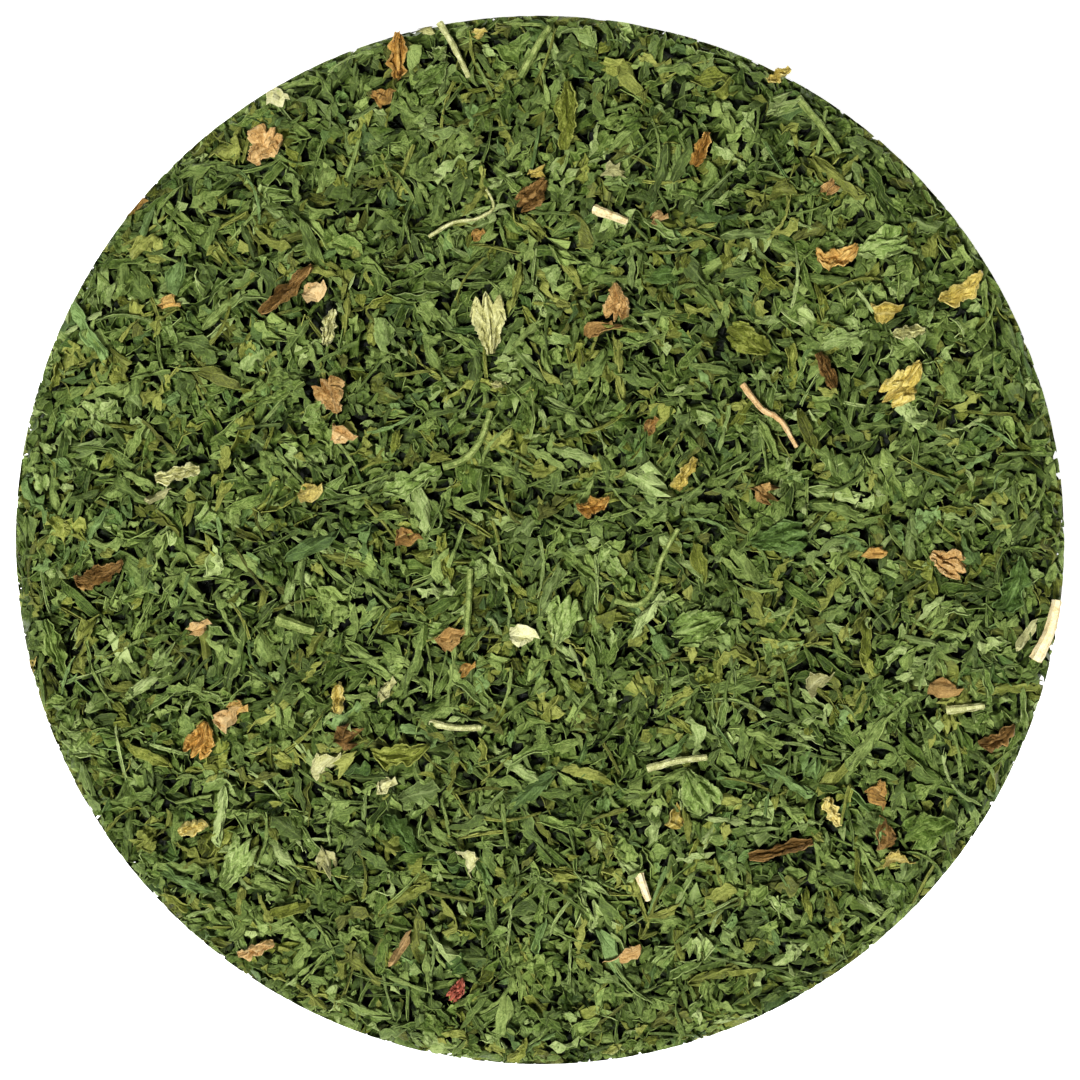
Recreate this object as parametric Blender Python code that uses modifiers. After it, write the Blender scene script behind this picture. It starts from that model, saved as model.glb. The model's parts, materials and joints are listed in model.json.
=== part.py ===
"""A round, level bed of dried parsley flakes with the single leaf and stem pieces that lie on top of it.

Metres, +Z up. The origin is on the surface the bed lies on, under its centre.
"""

import math
import random
from collections import namedtuple

import bmesh
import bpy
from mathutils import Matrix, Vector
from mathutils.bvhtree import BVHTree

MM = 0.001

# The bed.
BED_RADIUS = 52.0 * MM
BED_DEPTH = 9.2 * MM
SIDE_LEAN = 1.0 * MM  # how much narrower the shoulder is than the foot
SHOULDER_RADIUS = 1.4 * MM
RELIEF = 0.35 * MM  # gentle rise and fall of the top
TOP_RINGS = 11
TURN_STEPS = 60
SHOULDER_STEPS = 4

# The pieces on top.
REST_GAP = 0.3 * MM
LEAF_THICKNESS = 0.36 * MM
LEAF_CELLS_LONG = 6
LEAF_CELLS_WIDE = 4
STEM_POINTS_EACH_SPAN = 3
STEM_SIDES_RESOLUTION = 1

# Finish: base colour (linear), roughness.
FINISHES = {
    "leaf_green": ((0.095, 0.150, 0.045), 0.75),
    "leaf_light_green": ((0.230, 0.330, 0.130), 0.72),
    "leaf_blue_green": ((0.110, 0.210, 0.120), 0.75),
    "leaf_olive": ((0.150, 0.170, 0.050), 0.75),
    "leaf_yellow": ((0.600, 0.480, 0.110), 0.70),
    "leaf_orange": ((0.560, 0.280, 0.060), 0.70),
    "leaf_tan": ((0.560, 0.320, 0.130), 0.72),
    "leaf_cream": ((0.640, 0.590, 0.330), 0.70),
    "leaf_brown": ((0.260, 0.120, 0.045), 0.75),
    "leaf_red": ((0.480, 0.110, 0.065), 0.72),
    "stem_pale": ((0.480, 0.500, 0.280), 0.65),
    "stem_green": ((0.230, 0.300, 0.130), 0.65),
    "stem_tan": ((0.560, 0.360, 0.150), 0.65),
    "stem_straw": ((0.760, 0.620, 0.300), 0.60),
}

# One leaf piece: place and size in mm, yaw in degrees from +X, and how its edges fold up and its length bends.
Leaf = namedtuple("Leaf", "name shape x y length width yaw finish fold bend")
LEAVES = (
    Leaf("tan_crumpled_leaf", "lobed", -26.7, 38.2, 4.1, 4.0, 60, "leaf_tan", 50, 40),
    Leaf("brown_curled_leaf", "blade", -24.4, 24.2, 7.0, 1.8, 42, "leaf_brown", 75, 35),
    Leaf("cream_slim_leaf", "blade", -20.5, 20.6, 3.4, 1.5, 80, "leaf_cream", 40, 20),
    Leaf("orange_tan_rim_leaf", "blade", -13.9, 46.9, 4.5, 1.9, 90, "leaf_orange", 45, 25),
    Leaf("yellow_green_rim_leaf", "chip", -10.9, 44.6, 3.2, 2.6, 20, "leaf_light_green", 30, 20),
    Leaf("olive_long_leaf", "blade", 2.7, 41.1, 6.5, 2.2, 88, "leaf_olive", 55, 15),
    Leaf("brown_crumpled_leaf", "chip", -1.1, 33.1, 3.4, 2.8, 25, "leaf_brown", 60, 60),
    Leaf("orange_curled_leaf", "blade", 15.6, 37.9, 3.4, 1.4, 70, "leaf_orange", 70, 50),
    Leaf("pale_three_lobed_leaf", "lobed", -5.0, 21.1, 6.0, 3.8, 95, "leaf_cream", 25, 20),
    Leaf("peach_leaf", "chip", 7.6, 22.7, 2.9, 2.5, 70, "leaf_tan", 35, 30),
    Leaf("yellow_small_rim_leaf", "blade", 23.2, 45.0, 2.4, 1.3, 30, "leaf_yellow", 40, 20),
    Leaf("orange_ring_leaf", "chip", 28.7, 27.1, 3.6, 2.6, 10, "leaf_orange", 75, 50),
    Leaf("light_double_lobed_leaf", "lobed", 33.2, 28.6, 5.0, 3.6, 15, "leaf_light_green", 30, 20),
    Leaf("yellow_olive_leaf", "chip", 41.0, 24.2, 3.8, 2.5, 35, "leaf_yellow", 50, 30),
    Leaf("cream_side_leaf", "blade", 35.7, 20.2, 3.0, 1.4, 10, "leaf_cream", 35, 15),
    Leaf("yellow_green_fan_leaf", "lobed", 20.2, 19.4, 4.8, 3.2, 150, "leaf_olive", 30, 20),
    Leaf("orange_prong_leaf", "lobed", -20.2, 14.1, 3.7, 3.6, 120, "leaf_tan", 45, 40),
    Leaf("cream_left_leaf", "blade", -35.2, 6.5, 4.3, 1.7, 15, "leaf_cream", 45, 25),
    Leaf("brown_left_leaf", "chip", -43.0, -3.4, 4.2, 2.6, 20, "leaf_brown", 60, 50),
    Leaf("dark_olive_left_leaf", "blade", -47.0, -10.5, 6.0, 1.8, -72, "leaf_green", 60, 20),
    Leaf("yellow_cream_leaf", "blade", -19.5, -15.3, 3.0, 1.2, 86, "leaf_yellow", 45, 20),
    Leaf("green_leaf_on_stalk", "lobed", -12.4, 5.6, 6.0, 3.0, 205, "leaf_light_green", 45, 15),
    Leaf("yellow_centre_leaf", "blade", 14.0, 6.5, 3.5, 1.5, 60, "leaf_yellow", 50, 25),
    Leaf("orange_centre_leaf", "chip", 5.1, 3.3, 2.6, 1.8, 15, "leaf_orange", 60, 50),
    Leaf("light_lobed_centre_leaf", "lobed", 2.2, -7.6, 4.8, 3.6, 75, "leaf_light_green", 30, 20),
    Leaf("folded_triangular_leaf", "lobed", 15.3, -8.4, 5.4, 4.2, 200, "leaf_light_green", 50, 25),
    Leaf("yellow_right_leaf", "chip", 34.8, 14.6, 4.2, 3.2, 30, "leaf_yellow", 35, 30),
    Leaf("brown_right_leaf", "blade", 27.8, 16.5, 3.7, 1.5, -65, "leaf_brown", 55, 25),
    Leaf("peach_crumpled_leaf", "lobed", 39.6, -2.4, 3.8, 3.4, -30, "leaf_tan", 55, 45),
    Leaf("green_right_leaf", "chip", 46.0, -4.9, 4.4, 2.8, 60, "leaf_blue_green", 40, 25),
    Leaf("grey_green_leaf", "lobed", 23.2, 0.2, 5.6, 3.8, 10, "leaf_blue_green", 35, 20),
    Leaf("orange_yellow_leaf", "chip", -33.0, -19.8, 3.2, 3.0, 50, "leaf_orange", 50, 40),
    Leaf("yellow_curl_leaf", "blade", -33.6, -27.9, 2.8, 1.6, 15, "leaf_yellow", 75, 50),
    Leaf("pink_tan_leaf", "blade", -27.6, -39.6, 3.6, 1.2, 20, "leaf_tan", 45, 20),
    Leaf("light_green_left_leaf", "lobed", -29.2, -31.3, 5.5, 3.4, 60, "leaf_light_green", 35, 20),
    Leaf("olive_flat_leaf", "chip", -13.6, -21.0, 4.2, 2.5, 5, "leaf_olive", 25, 10),
    Leaf("blue_green_leaf", "blade", -13.4, -28.3, 4.6, 2.2, -50, "leaf_blue_green", 45, 20),
    Leaf("red_leaf_bit", "chip", -8.1, -43.9, 1.9, 1.4, 40, "leaf_red", 50, 30),
    Leaf("large_green_lower_leaf", "lobed", 15.4, -24.4, 4.8, 4.2, -60, "leaf_light_green", 30, 25),
    Leaf("yellow_lower_leaf", "blade", 28.2, -26.3, 3.0, 1.6, -65, "leaf_yellow", 45, 25),
    Leaf("long_brown_lower_leaf", "blade", 23.4, -30.2, 6.4, 1.4, 15, "leaf_brown", 80, 45),
    Leaf("large_grey_green_leaf", "lobed", 37.6, -28.0, 5.2, 4.2, -160, "leaf_green", 35, 25),
    Leaf("orange_brown_rim_leaf", "chip", 44.3, -19.4, 3.0, 1.8, 25, "leaf_brown", 55, 30),
)

# One stem piece: its route in mm across the bed, its thickness in mm, and its finish.
Stem = namedtuple("Stem", "name route thickness finish")
STEMS = (
    Stem("pale_rim_stem", ((-9.8, 50.2), (-8.4, 47.9), (-6.9, 44.9)), 0.6, "stem_pale"),
    Stem("tan_green_rim_stem", ((-1.9, 44.9), (-0.6, 47.3), (0.9, 49.8)), 0.75, "stem_green"),
    Stem("thin_curved_stem", ((-10.8, 29.4), (-8.4, 30.8), (-6.3, 31.1), (-4.5, 32.2), (-5.2, 34.0)), 0.35,
         "stem_pale"),
    Stem("yellow_stem_piece", ((5.2, 32.1), (6.8, 31.5), (8.4, 30.9)), 0.9, "stem_straw"),
    Stem("grey_green_upper_stem", ((25.0, 42.9), (27.2, 40.2), (29.1, 37.5)), 0.7, "stem_green"),
    Stem("rolled_left_stem", ((-25.4, -7.7), (-23.7, -8.3), (-22.0, -8.8)), 1.1, "stem_green"),
    Stem("leaf_stalk", ((-9.4, 7.1), (-7.4, 7.8), (-5.8, 9.6), (-4.8, 12.5)), 0.7, "stem_green"),
    Stem("grey_green_centre_stem", ((-7.2, -9.2), (-6.9, -6.1), (-6.8, -2.8)), 0.65, "stem_green"),
    Stem("curved_green_stem", ((7.3, -5.8), (9.4, -6.3), (11.0, -4.8), (11.7, -2.0), (13.4, 1.1)), 0.55,
         "stem_green"),
    Stem("whitish_tan_stem", ((-10.7, -17.7), (-8.4, -18.2), (-5.7, -18.2)), 0.65, "stem_pale"),
    Stem("long_tan_stem", ((19.6, 15.1), (21.5, 12.7), (23.3, 11.6), (24.9, 9.0)), 0.55, "stem_tan"),
    Stem("straw_rim_stem", ((48.0, -11.6), (49.3, -8.9), (50.1, -5.9)), 1.2, "stem_straw"),
    Stem("pale_right_stem", ((39.4, -16.5), (41.2, -16.3), (43.0, -16.1)), 0.8, "stem_pale"),
    Stem("long_pale_lower_stem", ((10.4, -22.2), (13.3, -21.4), (16.2, -21.1)), 0.7, "stem_pale"),
    Stem("white_lower_stem", ((9.6, -32.4), (10.0, -33.6), (10.5, -34.9)), 0.8, "stem_straw"),
)


def start_empty():
    """Remove what the file opened with and return the collection the pieces go in."""
    for thing in list(bpy.data.objects):
        bpy.data.objects.remove(thing, do_unlink=True)
    collection = bpy.data.collections.new("parsley_flake_bed")
    bpy.context.scene.collection.children.link(collection)
    return collection


def finish(name):
    """The named finish as a Principled material, made once."""
    material = bpy.data.materials.get(name)
    if material is None:
        colour, roughness = FINISHES[name]
        material = bpy.data.materials.new(name)
        material.use_nodes = True
        shader = material.node_tree.nodes["Principled BSDF"]
        shader.inputs["Base Color"].default_value = (*colour, 1.0)
        shader.inputs["Roughness"].default_value = roughness
        shader.inputs["Metallic"].default_value = 0.0
        material.diffuse_color = (*colour, 1.0)
    return material


def add_object(name, data, finish_name, collection):
    thing = bpy.data.objects.new(name, data)
    data.materials.append(finish(finish_name))
    collection.objects.link(thing)
    return thing


def with_modifiers_applied(thing):
    """The object again with its modifiers' result as its own mesh."""
    evaluated = thing.evaluated_get(bpy.context.evaluated_depsgraph_get())
    mesh = bpy.data.meshes.new_from_object(evaluated)
    mesh.name = thing.name
    if thing.type == "CURVE":
        weld_caps(mesh)
        solid = bpy.data.objects.new(thing.name, mesh)
        solid.matrix_world = thing.matrix_world
        thing.users_collection[0].objects.link(solid)
        name = thing.name
        bpy.data.objects.remove(thing)
        solid.name = name
        return solid
    thing.modifiers.clear()
    thing.data = mesh
    return thing


def weld_caps(mesh):
    """Join a tube's end caps to its wall."""
    work = bmesh.new()
    work.from_mesh(mesh)
    bmesh.ops.remove_doubles(work, verts=work.verts, dist=0.001 * MM)
    work.to_mesh(mesh)
    work.free()


# The bed


def bed_profile():
    """(radius, height) of the outline, from the middle of the top down the side to the middle of the foot."""
    flat = BED_RADIUS - SIDE_LEAN - SHOULDER_RADIUS
    points = [(flat * ring / TOP_RINGS, BED_DEPTH) for ring in range(TOP_RINGS)]
    for step in range(SHOULDER_STEPS + 1):
        angle = math.pi / 2 * step / SHOULDER_STEPS
        radius = flat + SHOULDER_RADIUS * math.sin(angle)
        height = BED_DEPTH - SHOULDER_RADIUS * (1 - math.cos(angle))
        points.append((radius, height))
    points.append((BED_RADIUS - SIDE_LEAN / 3, BED_DEPTH / 3))
    points.append((BED_RADIUS, 0.0))
    points.append((0.0, 0.0))
    return points


def relief(x, y):
    """Slow rise and fall of the top, in metres."""
    waves = math.sin(210 * x + 60 * y + 0.7) + math.sin(150 * y - 95 * x + 2.1) + math.sin(330 * x - 280 * y)
    return RELIEF * waves / 3


def make_bed(collection):
    points = bed_profile()
    mesh = bpy.data.meshes.new("leaf_bed")
    edges = [(i, i + 1) for i in range(len(points) - 1)]
    mesh.from_pydata([(radius, 0.0, height) for radius, height in points], edges, [])
    bed = add_object("leaf_bed", mesh, "leaf_green", collection)
    turn = bed.modifiers.new("turn", "SCREW")
    turn.steps = TURN_STEPS
    turn.render_steps = TURN_STEPS
    turn.use_merge_vertices = True
    turn.merge_threshold = 0.01 * MM
    turn.use_smooth_shade = True
    bed = with_modifiers_applied(bed)
    for vertex in bed.data.vertices:
        rise = vertex.co.z / BED_DEPTH
        vertex.co.z += relief(vertex.co.x, vertex.co.y) * rise**2
    return bed


# The shapes of leaf pieces: half width and the outline's reach for a place along (0 to 1) and across (-1 to 1).


def blade_outline(along, across):
    """A slim torn leaflet, widest before its middle and blunt at both ends."""
    half = (math.sin(math.pi * (0.06 + 0.88 * along))) ** 0.7 * (1.12 - 0.3 * along)
    return along, across * half


def chip_outline(along, across):
    """A torn piece of leaf blade with slanted ends."""
    half = 0.72 + 0.28 * math.sin(math.pi * along) + 0.08 * math.sin(9 * along)
    return along + 0.12 * across * (2 * along - 1) + 0.1 * across * along, across * half


def lobed_outline(along, across):
    """Three rounded lobes spreading from a narrow stalk end."""
    reach = 0.72 + 0.28 * abs(math.cos(1.5 * math.pi * across * 0.98))
    spread = 0.14 + 0.86 * along**0.9
    return along * reach * (1 - 0.16 * across**2), across * spread


OUTLINES = {"blade": blade_outline, "chip": chip_outline, "lobed": lobed_outline}


def shape_leaf(leaf, along, across):
    """Where a point of the flat sheet goes once the piece has its outline, fold, bend and crumple."""
    dice = random.Random(leaf.name)
    phase = dice.uniform(0, 6.28)
    twist = math.radians(dice.uniform(-30, 30))
    long_place, wide_place = OUTLINES[leaf.shape](along, across)
    length = leaf.length * MM
    half_width = leaf.width * MM / 2
    fold = math.radians(leaf.fold)
    y = half_width * math.sin(fold * wide_place) / fold
    z = half_width * (1 - math.cos(fold * wide_place)) / fold
    z += 0.12 * half_width * math.sin(5.2 * long_place + 2.6 * wide_place + phase)
    turn = twist * (long_place - 0.5)
    y, z = y * math.cos(turn) - z * math.sin(turn), y * math.sin(turn) + z * math.cos(turn)
    bend = math.radians(leaf.bend)
    radius = length / bend
    angle = bend * (long_place - 0.5)
    return Vector(((radius - z) * math.sin(angle), y, radius - (radius - z) * math.cos(angle)))


def make_leaf(leaf, collection):
    """A leaf piece as a thin closed sheet, turned as it lies but not yet set down."""
    bpy.ops.mesh.primitive_grid_add(x_subdivisions=LEAF_CELLS_LONG, y_subdivisions=LEAF_CELLS_WIDE, size=2)
    thing = bpy.context.object
    for other in list(thing.users_collection):
        other.objects.unlink(thing)
    collection.objects.link(thing)
    thing.name = leaf.name
    thing.data.name = leaf.name
    thing.data.materials.append(finish(leaf.finish))
    for vertex in thing.data.vertices:
        vertex.co = shape_leaf(leaf, (vertex.co.x + 1) / 2, vertex.co.y)
    sheet = thing.modifiers.new("thickness", "SOLIDIFY")
    sheet.thickness = LEAF_THICKNESS
    sheet.offset = 0
    with_modifiers_applied(thing)
    thing.data.shade_smooth()
    dice = random.Random(leaf.name + " lie")
    tilt = Matrix.Rotation(math.radians(dice.uniform(-14, 14)), 4, "Y")
    roll = Matrix.Rotation(math.radians(dice.uniform(-22, 22)), 4, "X")
    thing.matrix_world = Matrix.Rotation(math.radians(leaf.yaw), 4, "Z") @ tilt @ roll
    thing.location = (leaf.x * MM, leaf.y * MM, 0)
    return thing


def make_stem(stem, collection):
    """A stem piece as a tapering tube along its route, lying level."""
    curve = bpy.data.curves.new(stem.name, "CURVE")
    curve.dimensions = "3D"
    curve.bevel_depth = stem.thickness * MM / 2
    curve.bevel_resolution = STEM_SIDES_RESOLUTION
    curve.use_fill_caps = True
    centre = sum((Vector(point) for point in stem.route), Vector((0, 0))) / len(stem.route)
    spline = curve.splines.new("POLY")
    steps = STEM_POINTS_EACH_SPAN * (len(stem.route) - 1)
    spline.points.add(steps)
    for i, point in enumerate(spline.points):
        along = i / steps
        place = (on_route(stem.route, along) - centre) * MM
        sag = 0.25 * stem.thickness * MM * math.sin(math.pi * along)
        point.co = (place.x, place.y, sag, 1)
        point.radius = 1.12 - 0.32 * along
    thing = add_object(stem.name, curve, stem.finish, collection)
    thing.location = (centre.x * MM, centre.y * MM, 0)
    thing = with_modifiers_applied(thing)
    thing.data.shade_smooth()
    return thing


def on_route(route, along):
    """A point of the smooth curve through the route's points, by Catmull-Rom."""
    place = along * (len(route) - 1)
    i = min(int(place), len(route) - 2)
    t = place - i
    before = Vector(route[max(i - 1, 0)])
    start = Vector(route[i])
    end = Vector(route[i + 1])
    after = Vector(route[min(i + 2, len(route) - 1)])
    slope_in = (end - before) / 2
    slope_out = (after - start) / 2
    return (
        start * (2 * t**3 - 3 * t**2 + 1)
        + slope_in * (t**3 - 2 * t**2 + t)
        + end * (3 * t**2 - 2 * t**3)
        + slope_out * (t**3 - t**2)
    )


# Setting pieces down


def world_mesh(thing):
    """The object's vertices in the world, and its faces."""
    bpy.context.view_layer.update()
    corners = [thing.matrix_world @ vertex.co for vertex in thing.data.vertices]
    return corners, [tuple(face.vertices) for face in thing.data.polygons]


def clearance(piece, below):
    """The least upward distance from what lies below to the piece, seen from both of them."""
    up = Vector((0, 0, 1))
    high = 0.1
    piece_corners, piece_faces = piece
    piece_tree = BVHTree.FromPolygons(piece_corners, piece_faces)
    reach = max(abs(corner.x) + abs(corner.y) for corner in piece_corners)
    least = math.inf
    for corners, faces in below:
        tree = BVHTree.FromPolygons(corners, faces)
        for corner in piece_corners:
            hit = tree.ray_cast(Vector((corner.x, corner.y, high)), -up)[0]
            if hit is not None:
                least = min(least, corner.z - hit.z)
        for corner in corners:
            if abs(corner.x) + abs(corner.y) > reach:
                continue
            hit = piece_tree.ray_cast(Vector((corner.x, corner.y, -high)), up)[0]
            if hit is not None:
                least = min(least, hit.z - corner.z)
    return least


def set_down(thing, lying):
    """Lower a piece onto what lies there already, leaving the gap that keeps solids apart."""
    thing.location.z = 2 * BED_DEPTH
    piece = world_mesh(thing)
    drop = clearance(piece, lying) - REST_GAP
    thing.location.z -= drop
    lying.append(world_mesh(thing))


def build():
    collection = start_empty()
    lying = [world_mesh(make_bed(collection))]
    for stem in STEMS:
        set_down(make_stem(stem, collection), lying)
    for leaf in LEAVES:
        set_down(make_leaf(leaf, collection), lying)


build()
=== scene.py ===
"""The looks of a round, level bed of dried parsley: thousands of curled leaf flakes piled one by one, the
coloured leaf pieces and stems that lie on top, their dry matt finishes, and a plain pale studio.

Lengths are in metres, +Z is up, and the bed's foot is centred on the origin.
"""

import json
import math
import random

import bpy
import numpy as np
from mathutils import Matrix, Vector, noise
from mathutils.bvhtree import BVHTree


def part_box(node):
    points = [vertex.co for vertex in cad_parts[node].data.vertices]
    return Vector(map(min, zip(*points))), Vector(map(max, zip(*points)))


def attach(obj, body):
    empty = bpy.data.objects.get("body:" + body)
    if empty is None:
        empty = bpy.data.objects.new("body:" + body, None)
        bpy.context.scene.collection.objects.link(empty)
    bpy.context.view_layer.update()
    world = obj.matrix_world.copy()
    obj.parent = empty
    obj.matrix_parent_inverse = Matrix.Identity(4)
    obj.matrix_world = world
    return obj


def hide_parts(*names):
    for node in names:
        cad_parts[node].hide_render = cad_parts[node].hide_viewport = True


MM = 0.001

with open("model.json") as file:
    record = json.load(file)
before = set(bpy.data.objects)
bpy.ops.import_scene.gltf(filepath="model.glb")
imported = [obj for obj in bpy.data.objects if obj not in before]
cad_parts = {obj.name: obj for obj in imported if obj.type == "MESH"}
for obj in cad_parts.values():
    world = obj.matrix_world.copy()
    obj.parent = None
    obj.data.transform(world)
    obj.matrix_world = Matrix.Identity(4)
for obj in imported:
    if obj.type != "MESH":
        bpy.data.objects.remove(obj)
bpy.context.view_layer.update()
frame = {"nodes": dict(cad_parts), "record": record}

# The bed's own size, from the CAD solid.
BED_LOW, BED_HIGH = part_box("leaf_bed")
BED_RADIUS = (BED_HIGH[0] - BED_LOW[0]) / 2
BED_DEPTH = 9.2 * MM
FILL_LEVEL = 8.7 * MM  # the flakes' mean top, under the pieces that lie on it
SIDE_LEAN = 1.0 * MM
SHOULDER = 1.4 * MM

# How the flakes are piled.
CELL = 0.3 * MM  # one square of the height map
MAP_SIDE = int(2 * BED_RADIUS / CELL) + 3
FLAKE_THICKNESS = 0.08 * MM
ACCENT_THICKNESS = 0.11 * MM
CRUMPLE = 1.1  # how crumpled the single leaf pieces are
LEAF_CELLS = (26, 12)  # cells along and across a single leaf piece
EDGE_STEPS = 9  # points read along each edge of a CAD leaf
STATIONS = 15  # widths read along it
BROAD = 0.55  # width for its length from which a leaf piece is fingered
RAY_START = 5 * MM
COARSE_BELOW = 2.2 * MM  # flakes this far under the top are made of fewer faces
TRIES = 60000
SIDE_TRIES = 9000
RIM_TRIES = 1800
COVER_TRIES = 2600
TUCKED = 22  # tries per single piece to lay a flake over its edge
PROUD = 1.2 * MM  # how far a flake may stand above the level top
COVER_PROUD = 1.9 * MM
BIT_PROUD = 2.6 * MM
CORE_RADIUS = 47.0 * MM  # the solid middle of the heap, out of sight
CORE_TOP = 5.2 * MM
WALL_DEPTH = 2.4 * MM  # flakes this near the side are fully modelled
PAINTED_SHADE_DEPTH = 1.35 * MM  # over how much depth in the heap the painted shade darkens a flake to near black
LIT_SHARE = 1.15  # how soon under the top the painted shade sets in
STEEPEST = 0.75  # the most that a flake leans with the ground, in radians
MOST_COVERED = 0.36  # the share of a covering flake that may lie over a single piece

# The flake families: how many shapes, share of the pile, and the ranges of length and flat width in mm, of the
# fold of each half and the bend along the length in degrees, and the most twist.
FAMILIES = {
    "blade": (10, 0.24, (2.6, 5.4), (1.2, 2.2), (50, 130), (25, 120), 90),
    "frond": (14, 0.40, (2.9, 5.6), (2.0, 3.6), (45, 120), (25, 110), 80),
    "fan": (8, 0.14, (3.0, 5.0), (2.6, 4.2), (35, 105), (25, 100), 60),
    "chip": (7, 0.12, (1.5, 2.8), (1.2, 2.2), (30, 95), (25, 95), 60),
    "stalk": (4, 0.05, (2.8, 5.6), (0.6, 1.0), (140, 160), (20, 90), 30),
    "crumb": (4, 0.07, (0.8, 1.5), (0.7, 1.2), (20, 70), (10, 50), 30),
}

# Cells along and across a flake near the top, and further down.
FINE_CELLS = {
    "blade": (9, 2),
    "frond": (12, 4),
    "fan": (5, 6),
    "chip": (5, 4),
    "stalk": (6, 4),
    "crumb": (3, 2),
}
COARSE_CELLS = {
    "blade": (4, 2),
    "frond": (5, 2),
    "fan": (3, 4),
    "chip": (3, 2),
    "stalk": (3, 2),
    "crumb": (2, 2),
}
REST_STEPS = (13, 5)  # the points a flake rests on, along and across
CRUMB_REST_STEPS = (5, 3)

# Leaf and stem colours, linear, from the dark tone that stands in for shade in a flake's hollows (painted
# shade) to its pale veins and the painted highlight along its edges.
PALETTES = {
    "leaf_green": ((0.018, 0.038, 0.003), (0.082, 0.136, 0.018), (0.280, 0.365, 0.095)),
    "leaf_light_green": ((0.050, 0.088, 0.010), (0.165, 0.245, 0.050), (0.420, 0.510, 0.190)),
    "leaf_blue_green": ((0.016, 0.040, 0.005), (0.072, 0.130, 0.021), (0.225, 0.340, 0.105)),
    "leaf_olive": ((0.032, 0.040, 0.003), (0.132, 0.158, 0.016), (0.345, 0.370, 0.080)),
    "leaf_yellow": ((0.220, 0.160, 0.020), (0.540, 0.420, 0.085), (0.760, 0.660, 0.260)),
    "leaf_orange": ((0.150, 0.060, 0.008), (0.450, 0.235, 0.040), (0.720, 0.500, 0.160)),
    "leaf_tan": ((0.190, 0.092, 0.020), (0.490, 0.295, 0.095), (0.720, 0.530, 0.250)),
    "leaf_cream": ((0.240, 0.230, 0.070), (0.500, 0.490, 0.190), (0.740, 0.730, 0.400)),
    "leaf_brown": ((0.050, 0.024, 0.004), (0.200, 0.108, 0.026), (0.450, 0.280, 0.090)),
    "leaf_red": ((0.200, 0.050, 0.030), (0.480, 0.120, 0.070), (0.620, 0.260, 0.170)),
    "stem_pale": ((0.130, 0.135, 0.035), (0.360, 0.370, 0.140), (0.640, 0.640, 0.340)),
    "stem_green": ((0.045, 0.070, 0.010), (0.140, 0.190, 0.040), (0.330, 0.390, 0.120)),
    "stem_tan": ((0.280, 0.150, 0.055), (0.560, 0.360, 0.150), (0.720, 0.550, 0.300)),
    "stem_straw": ((0.420, 0.310, 0.120), (0.760, 0.620, 0.320), (0.860, 0.780, 0.520)),
}

# Painted shade: the hidden core is near black, so that gaps down to it read as deep shade.
CORE_SHADE_COLOUR = (0.010, 0.014, 0.003, 1.0)

# The pieces that the green flakes are joined into: their finish and their share of the pile.
GREEN_GROUPS = (
    ("green_flakes_1", "leaf_green", 0.10),
    ("green_flakes_2", "leaf_green", 0.10),
    ("green_flakes_3", "leaf_green", 0.10),
    ("green_flakes_4", "leaf_green", 0.10),
    ("green_flakes_5", "leaf_green", 0.10),
    ("green_flakes_6", "leaf_green", 0.09),
    ("light_green_flakes_1", "leaf_light_green", 0.09),
    ("light_green_flakes_2", "leaf_light_green", 0.08),
    ("olive_flakes_1", "leaf_olive", 0.09),
    ("olive_flakes_2", "leaf_olive", 0.09),
    ("blue_green_flakes", "leaf_blue_green", 0.06),
)

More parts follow.
